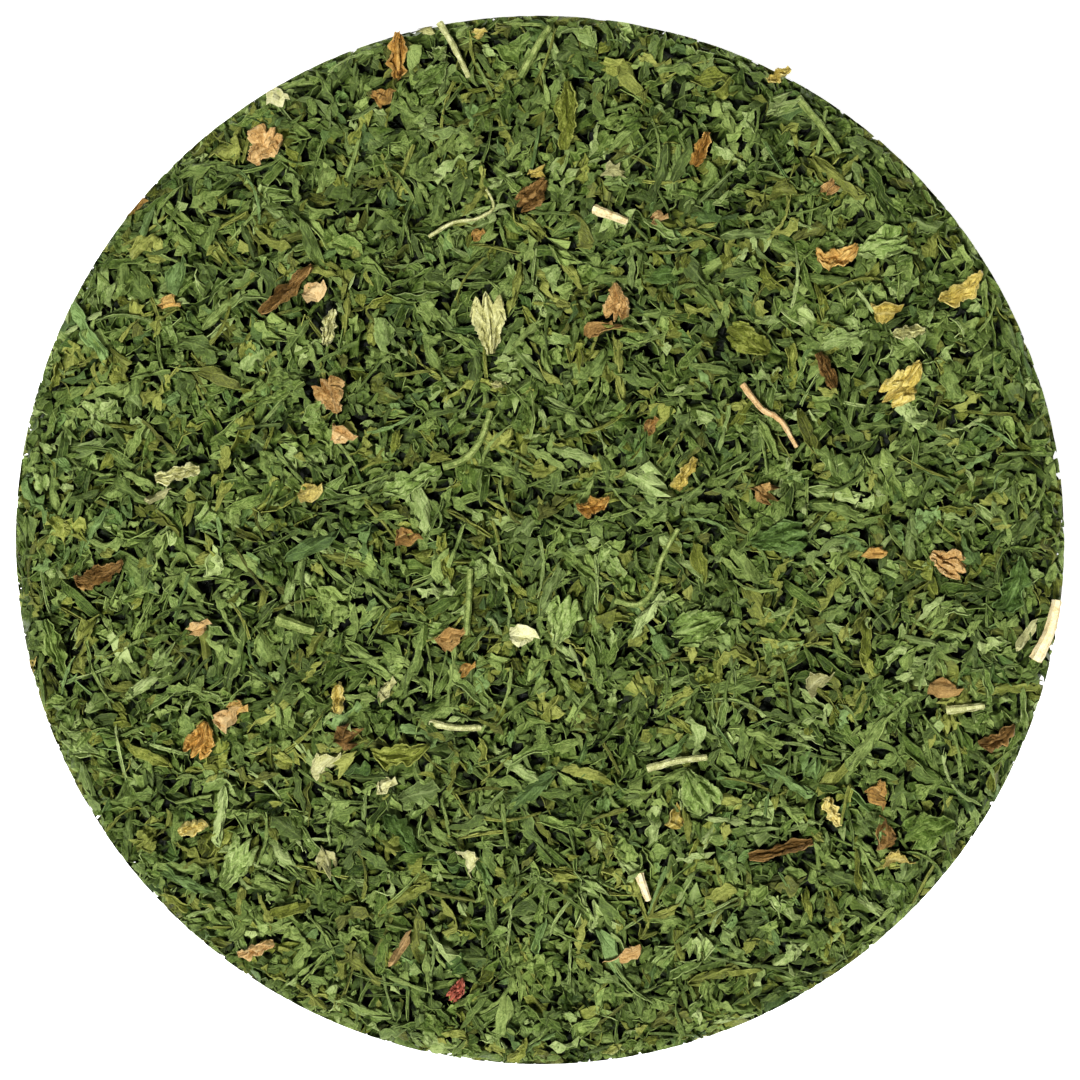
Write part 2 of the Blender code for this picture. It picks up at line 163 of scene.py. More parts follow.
# Small coloured bits between the larger pieces: place in mm, length in mm, yaw in degrees and finish.
BITS = (
    (-25.8, 43.2, 1.9, 20, "leaf_cream"),
    (-24.9, 42.3, 3.2, 70, "leaf_olive"),
    (-22.2, 24.1, 2.2, 45, "leaf_tan"),
    (-36.1, 23.2, 1.5, 10, "leaf_orange"),
    (-39.9, 32.4, 2.1, 40, "leaf_orange"),
    (-38.2, 30.6, 3.5, 70, "leaf_blue_green"),
    (-11.1, 49.8, 1.6, 5, "leaf_cream"),
    (-15.4, 43.0, 1.9, 60, "leaf_orange"),
    (-6.0, 49.0, 1.1, 0, "leaf_yellow"),
    (0.1, 37.9, 4.0, 80, "leaf_light_green"),
    (-0.3, 35.6, 1.3, 15, "leaf_yellow"),
    (11.4, 31.4, 1.3, 30, "leaf_tan"),
    (6.1, 20.4, 3.4, 15, "leaf_brown"),
    (-6.2, 29.7, 1.2, 50, "leaf_orange"),
    (7.1, 35.9, 1.8, 0, "leaf_cream"),
    (28.2, 34.1, 1.5, 40, "leaf_tan"),
    (40.2, 30.0, 2.0, 60, "leaf_brown"),
    (33.4, 22.2, 2.0, -10, "leaf_yellow"),
    (23.5, 42.0, 3.6, 20, "leaf_light_green"),
    (23.8, 22.6, 3.4, 75, "leaf_light_green"),
    (-19.3, 10.2, 2.0, -30, "leaf_tan"),
    (-37.2, 4.2, 2.6, 30, "leaf_cream"),
    (-45.3, 0.6, 3.8, 10, "leaf_olive"),
    (-26.9, 10.5, 4.0, -42, "leaf_light_green"),
    (-33.2, -8.7, 1.5, 15, "leaf_tan"),
    (-36.4, -11.2, 2.6, 50, "leaf_light_green"),
    (-49.6, -12.2, 1.1, 80, "leaf_yellow"),
    (-29.6, -16.2, 1.5, 20, "leaf_orange"),
    (-22.6, 4.7, 2.2, 35, "leaf_yellow"),
    (-4.1, 15.0, 1.1, 0, "leaf_cream"),
    (10.6, 11.1, 1.5, 70, "leaf_orange"),
    (-13.1, 0.4, 2.0, 25, "leaf_orange"),
    (-2.0, -9.4, 2.4, -15, "leaf_cream"),
    (0.6, -3.6, 3.6, 40, "leaf_light_green"),
    (10.7, 5.9, 3.9, -20, "leaf_light_green"),
    (-15.1, -14.6, 1.6, 60, "leaf_cream"),
    (-8.8, -9.8, 2.0, 10, "leaf_brown"),
    (-7.3, -12.5, 1.3, 45, "leaf_orange"),
    (21.9, 4.4, 2.7, -25, "leaf_brown"),
    (32.5, -1.2, 1.8, 5, "leaf_orange"),
    (47.2, -9.4, 3.0, 58, "leaf_cream"),
    (26.7, -13.8, 2.4, 40, "leaf_cream"),
    (38.9, -14.2, 2.4, 0, "leaf_brown"),
    (25.8, 10.6, 4.6, 110, "leaf_olive"),
    (27.6, -1.0, 4.4, 30, "leaf_light_green"),
    (-30.6, -17.4, 2.0, 70, "leaf_tan"),
    (-20.7, -31.3, 2.8, -75, "leaf_cream"),
    (-24.4, -35.9, 3.4, 20, "leaf_olive"),
    (-21.2, -21.7, 2.2, 40, "leaf_cream"),
    (-18.7, -19.0, 2.9, 20, "leaf_brown"),
    (-15.1, -23.7, 1.6, 35, "leaf_cream"),
    (-11.6, -24.6, 3.8, 15, "leaf_light_green"),
    (-6.9, -30.9, 2.2, -75, "leaf_cream"),
    (5.6, -33.6, 4.6, -36, "leaf_light_green"),
    (13.0, -27.2, 1.9, 50, "leaf_yellow"),
    (-13.6, -39.8, 3.0, 60, "leaf_tan"),
    (-2.2, -49.6, 3.0, 50, "leaf_olive"),
    (-9.4, -39.4, 3.6, -48, "leaf_light_green"),
    (7.9, -40.3, 3.4, 30, "leaf_tan"),
    (9.3, -24.6, 3.6, 35, "leaf_light_green"),
    (32.8, -24.5, 2.1, -30, "leaf_orange"),
    (34.2, -22.9, 3.6, 15, "leaf_light_green"),
    (34.5, -30.9, 2.2, 0, "leaf_yellow"),
    (33.6, -28.9, 2.1, 80, "leaf_brown"),
    (31.0, -32.0, 3.2, -85, "leaf_olive"),
    (35.2, -35.9, 1.9, 30, "leaf_cream"),
)


# Shader wiring


class Wire:
    """One output of a shader node. Arithmetic on it adds Math nodes."""

    def __init__(self, tree, socket):
        self.tree = tree
        self.socket = socket

    def maths(self, operation, other=None, swapped=False):
        node = self.tree.nodes.new("ShaderNodeMath")
        node.operation = operation
        values = (other, self) if swapped else (self, other)
        for slot, value in zip(node.inputs, values):
            plug(self.tree, slot, value)
        return Wire(self.tree, node.outputs[0])

    def siblings(self):
        """All the outputs of this wire's node."""
        return [Wire(self.tree, socket) for socket in self.socket.node.outputs]

    def __add__(self, other):
        return self.maths("ADD", other)

    def __sub__(self, other):
        return self.maths("SUBTRACT", other)

    def __rsub__(self, other):
        return self.maths("SUBTRACT", other, swapped=True)

    def __mul__(self, other):
        return self.maths("MULTIPLY", other)

    def __pow__(self, other):
        return self.maths("POWER", other)

    __radd__ = __add__
    __rmul__ = __mul__


def plug(tree, slot, value):
    """Links a wire into a socket, or sets the socket to a plain value."""
    if isinstance(value, Wire):
        tree.links.new(value.socket, slot)
    elif value is not None:
        slot.default_value = value


class Finish:
    """A material being wired."""

    def __init__(self, name):
        self.material = bpy.data.materials.new(name)
        self.material.use_nodes = True
        self.tree = self.material.node_tree
        self.shader = self.tree.nodes["Principled BSDF"]

    def node(self, kind, inputs=None, output=0, **settings):
        """Any node: its settings first, then the values or wires of its sockets."""
        node = self.tree.nodes.new(kind)
        for name, value in settings.items():
            setattr(node, name, value)
        for slot, value in (inputs or {}).items():
            plug(self.tree, node.inputs[slot], value)
        return Wire(self.tree, node.outputs[output])

    def ramp(self, factor, stops):
        """A colour ramp through (place, colour) stops."""
        node = self.tree.nodes.new("ShaderNodeValToRGB")
        elements = node.color_ramp.elements
        while len(elements) < len(stops):
            elements.new(0.5)
        for element, (place, colour) in zip(elements, stops):
            element.position = place
            element.color = (*colour, 1.0)
        plug(self.tree, node.inputs[0], factor)
        return Wire(self.tree, node.outputs[0])

    def mix(self, factor, first, second, blend="MIX"):
        """Two colours mixed."""
        node = self.tree.nodes.new("ShaderNodeMix")
        node.data_type = "RGBA"
        node.blend_type = blend
        node.clamp_factor = True
        for slot, value in ((0, factor), (6, first), (7, second)):
            plug(self.tree, node.inputs[slot], value)
        return Wire(self.tree, node.outputs[2])

    def noise(self, place, scale, detail=3.0, roughness=0.55):
        inputs = {"Vector": place, "Scale": scale, "Detail": detail, "Roughness": roughness}
        return self.node("ShaderNodeTexNoise", inputs)

    def spread(self, value, low, high, to_low=0.0, to_high=1.0):
        """The value stretched from one range to another and clamped."""
        inputs = {0: value, 1: low, 2: high, 3: to_low, 4: to_high}
        return self.node("ShaderNodeMapRange", inputs)

    def set(self, **values):
        for name, value in values.items():
            plug(self.tree, self.shader.inputs[name.replace("_", " ")], value)


def leaf_finish(name):
    """Dry leaf: mottled, with a paler midrib, side veins and underside, a painted highlight along its edges,
    and a fine crinkle.
    The "flake" marks give its tint, its painted shade, darker deeper in the heap, and which side is the
    underside."""
    dark, middle, pale = PALETTES[name]
    finish = Finish(name)
    place = finish.node("ShaderNodeTexCoord", output=3)
    flake = finish.node("ShaderNodeAttribute", attribute_name="flake")
    parts = finish.node("ShaderNodeSeparateColor", {0: flake})
    tint, shade, underside = parts.siblings()
    sheet = finish.node("ShaderNodeUVMap", uv_map="leaf")
    along, across, _ = finish.node("ShaderNodeSeparateXYZ", {0: sheet}).siblings()

    mottle = finish.noise(place, 1100.0, 4.0, 0.62)
    grain = finish.noise(place, 6500.0, 3.0, 0.6)
    along_leaf = {0: along * 2.5, 1: across * 11.0, 2: tint * 57.0}
    lengthwise = finish.node("ShaderNodeCombineXYZ", along_leaf)
    streak = finish.noise(lengthwise, 1.0, 3.0, 0.6)
    off_middle = (across - 0.5).maths("ABSOLUTE")
    midrib = finish.spread(off_middle, 0.02, 0.085, 1.0, 0.0)
    side_wave = (along * 40.0 + off_middle * -34.0).maths("SINE")
    side_veins = finish.spread(side_wave, 0.55, 0.98)
    veins = midrib.maths("MAXIMUM", side_veins * 0.45)
    # Painted highlight: a pale line along the sheet's long edges, where curled-up borders catch the light.
    edge = finish.spread(off_middle, 0.42, 0.5)
    stipple = finish.noise(place, 3800.0, 2.0, 0.7)

    patch = finish.noise(place, 160.0, 2.0, 0.5)
    level = tint * 0.6 + patch * 0.6 + mottle * 0.7
    level = level + streak * 0.85 + stipple * 0.75 + grain * 0.4 - 1.45
    colour = finish.ramp(level, ((0.16, dark), (0.5, middle), (0.88, pale)))
    colour = finish.mix(veins * 0.30, colour, (*pale, 1.0))
    colour = finish.mix(edge * 0.30, colour, (*pale, 1.0))
    washed = tuple(0.55 * part + 0.02 for part in pale)
    colour = finish.mix(underside * 0.22, colour, (*washed, 1.0))
    # Painted shade: the colour is multiplied by the flake's shade mark, red and blue more than green, as for
    # light bounced between green flakes.
    painted_heap_shade = finish.node("ShaderNodeCombineColor", {0: shade**1.15, 1: shade, 2: shade**1.6})
    colour = finish.mix(1.0, colour, painted_heap_shade, "MULTIPLY")

    height = grain * 0.3 + stipple * 0.7 + mottle * 0.4 + streak * 1.3 + veins * -0.4
    bump = finish.node("ShaderNodeBump", {"Strength": 0.9, "Distance": 0.19 * MM, "Height": height})
    finish.set(Base_Color=colour, Normal=bump)
    finish.set(Roughness=0.6, Metallic=0.0, Specular_IOR_Level=0.22)
    return finish.material


def stem_finish(name):
    """Dry stem: fibrous, with pale and dark streaks."""
    dark, middle, pale = PALETTES[name]
    finish = Finish(name)
    place = finish.node("ShaderNodeTexCoord", output=3)
    streak = finish.noise(place, 1400.0, 4.0, 0.6)
    fibre = finish.noise(place, 7000.0, 2.0, 0.5)
    colour = finish.ramp(streak * 0.6 + fibre * 0.4, ((0.30, dark), (0.47, middle), (0.64, pale)))
    height = fibre + streak
    bump = finish.node("ShaderNodeBump", {"Strength": 0.5, "Distance": 0.08 * MM, "Height": height})
    finish.set(Base_Color=colour, Normal=bump)
    finish.set(Roughness=0.7, Metallic=0.0, Specular_IOR_Level=0.2)
    return finish.material


# Flake shapes


def blade_outline(along, across, lobes):
    """A slim torn leaflet with pointed ends."""
    half = (math.sin(math.pi * (0.03 + 0.93 * along))) ** 0.75 * (1.1 - 0.25 * along)
    return along, across * half


def frond_outline(along, across, lobes):
    """A leaflet with pointed lobes that reach forward on both sides."""
    start, count = lobes[0 if across < 0 else 1]
    wave = abs((count * along + start) % 1.0 - 0.5) * 2
    half = (0.26 + 0.80 * wave**0.8) * (math.sin(math.pi * (0.05 + 0.88 * along))) ** 0.5
    return along + 0.10 * abs(across) ** 1.5 * wave, across * half


def fan_outline(along, across, lobes):
    """Pointed fingers spreading from a narrow stalk end."""
    fingers = abs(math.cos(1.5 * math.pi * across))
    reach = 1.0 - 0.50 * (1 - fingers) * along - 0.14 * across**2
    return along * reach, across * (0.10 + 0.90 * along**0.85)


def chip_outline(along, across, lobes):
    """A torn piece of leaf blade with slanted, jagged ends."""
    start, count = lobes[0]
    half = 0.70 + 0.30 * math.sin(math.pi * along)
    half = half + 0.12 * math.sin(9 * along + 2 * across + 6 * start)
    slant = 0.16 * across * (2 * along - 1) + 0.14 * across * along * count / 3
    return along + slant, across * half


def stalk_outline(along, across, lobes):
    """A rolled stalk, hardly tapering."""
    return along, across * (1.05 - 0.30 * along)


OUTLINES = {
    "blade": blade_outline,
    "frond": frond_outline,
    "fan": fan_outline,
    "chip": chip_outline,
    "stalk": stalk_outline,
    "crumb": chip_outline,
}


class FlakeShape:
    """One flake's form, from which its meshes and the points it rests on are made."""

    def __init__(self, family, dice):
        _, _, lengths, widths, folds, bends, twist = FAMILIES[family]
        self.family = family
        self.length = dice.uniform(*lengths) * MM
        self.half_width = dice.uniform(*widths) * MM / 2
        self.fold = math.radians(dice.uniform(*folds))
        self.bend = math.radians(dice.uniform(*bends)) * dice.choice((-1, 1))
        self.twist = math.radians(dice.uniform(-twist, twist))
        self.skew = dice.uniform(-0.4, 0.4)
        self.lobes = [(dice.random(), dice.choice((2, 2.5, 3))) for _ in range(2)]
        self.ragged = Vector((dice.uniform(0, 50), dice.uniform(0, 50), 0))
        self.fine = self.modelled(*FINE_CELLS[family])
        self.coarse = self.modelled(*COARSE_CELLS[family])
        rows, columns = CRUMB_REST_STEPS if family == "crumb" else REST_STEPS
        self.rests_on = np.array(
            [
                self.place(row / (rows - 1), 2 * column / (columns - 1) - 1)
                for row in range(rows)
                for column in range(columns)
            ]
        )

    def place(self, along, across):
        """Where a point of the flat sheet goes: outlined, torn, folded, crumpled, twisted and bent."""
        tear = noise.noise(self.ragged + Vector((5.0 * along, 2.2 * across, 0)))
        tear += 0.6 * noise.noise(self.ragged + Vector((13.0 * along, 3.0 * across, 3)))
        long_place, wide_place = OUTLINES[self.family](along, across, self.lobes)
        wide_place *= 1 + 0.75 * tear
        wide_place += self.skew * math.sin(math.pi * along) * 0.5
        long_place += 0.20 * noise.noise(self.ragged + Vector((9, 4 * across, 2 * along)))
        y = self.half_width * math.sin(self.fold * wide_place) / self.fold
        z = self.half_width * (1 - math.cos(self.fold * wide_place)) / self.fold
        crumple = noise.noise(self.ragged + Vector((3.2 * along, 2.0 * across, 7)))
        z += 1.15 * self.half_width * crumple
        turn = self.twist * (long_place - 0.5)
        y, z = y * math.cos(turn) - z * math.sin(turn), y * math.sin(turn) + z * math.cos(turn)
        radius = self.length / self.bend
        angle = self.bend * (long_place - 0.5)
        return Vector(((radius - z) * math.sin(angle), y, radius - (radius - z) * math.cos(angle)))

    def modelled(self, long_cells, wide_cells):
        """The flake as a thin closed sheet: its corners, faces, and each corner's sheet place and side."""
        bpy.ops.mesh.primitive_grid_add(x_subdivisions=long_cells, y_subdivisions=wide_cells, size=2)
        thing = bpy.context.object
        flat = [((v.co.x + 1) / 2, v.co.y) for v in thing.data.vertices]
        for vertex, (along, across) in zip(thing.data.vertices, flat):
            vertex.co = self.place(along, across)
        return as_arrays(thicken(thing, FLAKE_THICKNESS), flat)


def thicken(thing, thickness):
    """Gives an open sheet its two sides and rim."""
    sheet = thing.modifiers.new("thickness", "SOLIDIFY")
    sheet.thickness = thickness
    sheet.offset = 0
    bpy.ops.object.modifier_apply(modifier=sheet.name)
    return thing


def as_arrays(thing, flat):
    """A thickened sheet's corners, faces and sheet places as arrays. The sheet itself is removed."""
    mesh = thing.data
    corners = np.empty(len(mesh.vertices) * 3)
    mesh.vertices.foreach_get("co", corners)
    faces = np.array([tuple(face.vertices) for face in mesh.polygons])
    sheet = np.array(flat * 2)
    sheet[:, 1] = (sheet[:, 1] + 1) / 2
    side = np.repeat([0.0, 1.0], len(flat))
    bpy.data.meshes.remove(mesh)
    return corners.reshape(-1, 3), faces, sheet, side


# The pile


class Pile:
    """The heap as it grows: a height map, the ceiling that the pieces on top leave, and the flakes laid."""

    def __init__(self, seed):
        self.dice = random.Random(seed)
        self.height = np.zeros((MAP_SIDE, MAP_SIDE))
        middles = (np.arange(MAP_SIDE) - 0.5) * CELL - BED_RADIUS
        self.level = top_of_bed(np.hypot(middles[:, None], middles[None, :]))
        reach = np.hypot(middles[:, None], middles[None, :])
        self.core = np.where(reach < CORE_RADIUS, CORE_TOP, 0.0)
        self.ceiling = self.level + PROUD
        self.kept_clear = np.zeros((MAP_SIDE, MAP_SIDE), bool)
        self.laid = []

    @staticmethod
    def cells(points):
        columns = np.clip(((points[:, 0] + BED_RADIUS) / CELL + 1).astype(int), 0, MAP_SIDE - 1)
        rows = np.clip(((points[:, 1] + BED_RADIUS) / CELL + 1).astype(int), 0, MAP_SIDE - 1)
        return rows, columns

    def lay(self, shape, x, y, yaw, dig, loose, finish, cover=False, scale=1.0):
        """Lets one flake down at (x, y). It leans with the ground under it and sinks in by the share dig.
        Returns False, and lays nothing, where it would touch what must stay clear."""
        dice = self.dice
        size = np.diag([dice.uniform(0.85, 1.2), dice.uniform(0.85, 1.15), 1.0]) * scale
        over = math.pi if dice.random() < 0.5 else 0.0
        roll = over + math.radians(dice.gauss(0, loose))
        pitch = math.radians(dice.gauss(0, 0.7 * loose))
        turn = Matrix.Rotation(yaw, 3, "Z")
        points = shape.rests_on @ size
        level = points @ np.array(turn @ Matrix.Rotation(over, 3, "X")).T
        ground = self.height[self.cells(level + (x, y, 0))]
        spread = level[:, :2] - level[:, :2].mean(axis=0)
        lean = np.linalg.lstsq(spread, ground - ground.mean(), rcond=None)[0]
        slope = math.atan(float(np.hypot(*lean)))
        level_line = Vector((-lean[1], lean[0], 0)).normalized()
        fall = Matrix.Rotation(min(slope, STEEPEST) * 0.85, 3, level_line)
        pose = np.array(fall @ turn @ Matrix.Rotation(pitch, 3, "Y") @ Matrix.Rotation(roll, 3, "X"))
        points = points @ pose.T + (x, y, 0)
        at = self.cells(points)
        depth = self.height[at] - points[:, 2]
        rank = int((1 - dig) * (len(depth) - 1))
        rise = float(np.partition(depth, rank)[rank]) + FLAKE_THICKNESS
        tops = points[:, 2] + rise
        if (tops > self.ceiling[at]).any():
            return False
        if cover and self.kept_clear[at].mean() > MOST_COVERED:
            return False
        self.height[at] = np.maximum(self.height[at], tops)
        if finish.endswith("_bits"):
            self.kept_clear[at] = True
        self.laid.append((shape, size, pose, (x, y, rise), finish, dice.random()))
        return True


def top_of_bed(radius):
    """The height that the heap is filled to at a distance from its middle."""
    out = np.clip((radius - (BED_RADIUS - SIDE_LEAN - SHOULDER)) / SHOULDER, 0, 1)
    return FILL_LEVEL - SHOULDER * (1 - np.sqrt(1 - out**2))


def wall_at(height):
    """How far out the heap's side stands at each height."""
    return BED_RADIUS - SIDE_LEAN * np.clip(height / BED_DEPTH, 0, 1) ** 1.5


def pick(shapes, dice):
    """A flake shape, each family by its share."""
    family = dice.choices(list(FAMILIES), [FAMILIES[name][1] for name in FAMILIES])[0]
    return dice.choice(shapes[family])


def pick_group(dice):
    return dice.choices(GREEN_GROUPS, [group[2] for group in GREEN_GROUPS])[0][0]


def anywhere(dice, margin):
    """A random place on the disc, an even spread."""
    return ring_place(dice, 0.0, BED_RADIUS - margin)


def ring_place(dice, inner, outer):
    """A random place between two distances from the middle, an even spread."""
    radius = math.sqrt(dice.uniform(inner**2, outer**2))
    angle = dice.uniform(0, 2 * math.pi)
    return radius * math.cos(angle), radius * math.sin(angle)


def lowest_of(pile, places):
    """The place that lacks most to the full height, and how much it lacks."""
    rows, columns = pile.cells(np.array(places))
    room = pile.level[rows, columns] - pile.height[rows, columns]
    best = int(np.argmax(room))
    return (*places[best], float(room[best]))


def fill_side(pile, shapes):
    """Piles the outer ring up to the height of the core. Flakes that reach into the core are out of sight."""
    dice = pile.dice
    for _ in range(SIDE_TRIES):
        shape = pick(shapes, dice)
        outer = BED_RADIUS - 0.2 * shape.length
        places = [ring_place(dice, CORE_RADIUS - 1.5 * MM, outer) for _ in range(4)]
        x, y, room = lowest_of(pile, places)
        if room > FILL_LEVEL - CORE_TOP:
            pile.lay(shape, x, y, dice.uniform(0, 2 * math.pi), 0.25, 26, pick_group(dice))
    pile.height = np.maximum(pile.height, pile.core)


def fill(pile, shapes):
    """Piles green flakes until the heap is full up to its level top."""
    dice = pile.dice
    for _ in range(TRIES):
        shape = pick(shapes, dice)
        x, y, room = lowest_of(pile, [anywhere(dice, 0.25 * shape.length) for _ in range(3)])
        if room < 0.2 * MM:
            continue
        deep = room > COARSE_BELOW
        loose = 26 if deep else 24
        dig = 0.22 if deep else 0.08
        pile.lay(shape, x, y, dice.uniform(0, 2 * math.pi), dig, loose, pick_group(dice))


def fill_rim(pile, shapes):
    """Flakes along the upper edge, lying more or less around it, that close the last notches."""
    dice = pile.dice
    for _ in range(RIM_TRIES):
        shape = pick(shapes, dice)
        places = [ring_place(dice, BED_RADIUS - 2.4 * MM, BED_RADIUS - 1.1 * MM) for _ in range(4)]
        x, y, room = lowest_of(pile, places)
        if room > 0.1 * MM:
            yaw = math.atan2(y, x) + math.pi / 2 + dice.gauss(0, 0.5)
            pile.lay(shape, x, y, yaw, 0.12, 20, pick_group(dice))


def cover(pile, shapes):
    """A last loose scatter, partly over the edges of the coloured pieces."""
    dice = pile.dice
    for _ in range(COVER_TRIES):
        shape = pick(shapes, dice)
        x, y = anywhere(dice, 0.4 * shape.length + 0.6 * MM)
        pile.lay(shape, x, y, dice.uniform(0, 2 * math.pi), 0.12, 14, pick_group(dice), cover=True)


def tuck_in(pile, shapes, solids):
    """Green flakes laid over the edges of the single pieces, so that they lie half in the heap."""
    dice = pile.dice
    for corners in solids:
        middle = corners.mean(axis=0)
        for _ in range(TUCKED):
            corner = corners[dice.randrange(len(corners))]
            away = corner[:2] - middle[:2]
            x, y = corner[:2] + away / max(math.hypot(*away), 1e-6) * dice.uniform(0.2, 1.1) * MM
            if math.hypot(x, y) < BED_RADIUS - 2.5 * MM:
                shape = pick(shapes, dice)
                yaw = dice.uniform(0, 2 * math.pi)
                pile.lay(shape, x, y, yaw, 0.10, 16, pick_group(dice), cover=True)


def scatter_bits(pile, shapes):
    """The small coloured bits, each where it lies."""
    pile.ceiling = pile.level + BIT_PROUD
    for x, y, length, yaw, finish in BITS:
        family = "chip" if length < 2.6 else pile.dice.choice(("blade", "fan"))
        near = min(shapes[family], key=lambda shape: abs(shape.length - length * MM))
        scale = length * MM / near.length
        for _ in range(12):
            turn = math.radians(yaw)
            if pile.lay(near, x * MM, y * MM, turn, 0.06, 10, finish + "_bits", True, scale):
                break
    pile.ceiling = pile.level + COVER_PROUD


def joined(pile, group, finish):
    """All the laid flakes of one group as one piece, each flake with its own cell of the bake map."""
    members = [laid for laid in pile.laid if laid[4] == group]
    side_cells = math.ceil(math.sqrt(len(members)))
    corners, faces, sheets, cells, marks = [], [], [], [], []
    count = 0
    for number, (shape, size, pose, place, _, chance) in enumerate(members):
        x, y, z = place
        level = top_of_bed(math.hypot(x, y))
        near_top = level - z < COARSE_BELOW
        near_wall = wall_at(z) - math.hypot(x, y) < WALL_DEPTH
        model = shape.fine if near_top or near_wall else shape.coarse
        base, base_faces, sheet, side = model
        points = base @ size @ pose.T + place
        points = pressed(points)
        reach = np.hypot(points[:, 0], points[:, 1])
        # Painted shade: corners deep under the level top, or far in from the side, get a darker mark that
        # stands in for the shade between flakes.
        depth = np.minimum(level + PROUD / 2 - points[:, 2], wall_at(points[:, 2]) - reach)
        shade = np.clip(LIT_SHARE - depth / PAINTED_SHADE_DEPTH, 0.02, 1.0)
        corners.append(points)
        faces.append(base_faces + count)
        sheets.append(sheet[base_faces])
        second = (side[base_faces].mean(axis=1) > 0.99)[:, None]
        cell = sheet[base_faces] * (0.44, 0.88) + (0.03, 0.06)
        cell[..., 0] += 0.5 * second
        cells.append((cell + (number % side_cells, number // side_cells)) / side_cells)
        marks.append(np.column_stack([np.full(len(points), chance), shade, side, np.ones(len(points))]))
        count += len(points)
    piece = mesh_object(group, np.vstack(corners), np.vstack(faces))
    add_map(piece, "leaf", np.vstack([s.reshape(-1, 2) for s in sheets]))
    add_map(piece, "OFBake", np.vstack([c.reshape(-1, 2) for c in cells]))
    add_marks(piece, np.vstack(marks))
    dress(piece, finish)
    return piece


def pressed(points):
    """Points beyond the heap's side brought in to it, as leaf pressed to a ring, and none under the foot."""
    reach = np.hypot(points[:, 0], points[:, 1])
    wall = wall_at(points[:, 2])
    inward = np.where(reach > wall, wall / np.maximum(reach, 1e-9), 1.0)
    points[:, 0] *= inward
    points[:, 1] *= inward
    points[:, 2] = np.maximum(points[:, 2], 0.0)
    return points


def mesh_object(name, corners, faces):
    """An object of four-sided faces from arrays."""
    mesh = bpy.data.meshes.new(name)
    mesh.vertices.add(len(corners))
    mesh.vertices.foreach_set("co", corners.ravel())
    mesh.loops.add(faces.size)
    mesh.loops.foreach_set("vertex_index", faces.ravel().astype(np.int32))
    mesh.polygons.add(len(faces))
    mesh.polygons.foreach_set("loop_start", np.arange(0, faces.size, 4, dtype=np.int32))
    mesh.update(calc_edges=True)
    mesh.shade_smooth()
    mesh.set_sharp_from_angle(angle=math.radians(38))
    piece = bpy.data.objects.new(name, mesh)
    bpy.context.scene.collection.objects.link(piece)
    return piece


def add_map(piece, name, places):
    layer = piece.data.uv_layers.new(name=name)
    layer.uv.foreach_set("vector", places.ravel().astype(np.float32))


def add_marks(piece, marks):
    """Per-corner marks for the finish: the flake's tint, its painted shade, darker deeper in the heap, and its
    underside.
    """
    layer = piece.data.attributes.new("flake", "FLOAT_COLOR", "POINT")
    layer.data.foreach_set("color", marks.ravel().astype(np.float32))


MATERIALS = {}


def dress(piece, finish):
    if finish not in MATERIALS:
        MATERIALS[finish] = stem_finish(finish) if finish.startswith("stem") else leaf_finish(finish)
    piece.data.materials.clear()
    piece.data.materials.append(MATERIALS[finish])


# The single pieces on top


def slot_of(node):
    """The finish that the record gives a CAD node."""
    for part in frame["record"]["subparts"]:
        if part["node"] == node:
            return part["material_slot"]
    raise ValueError(node)


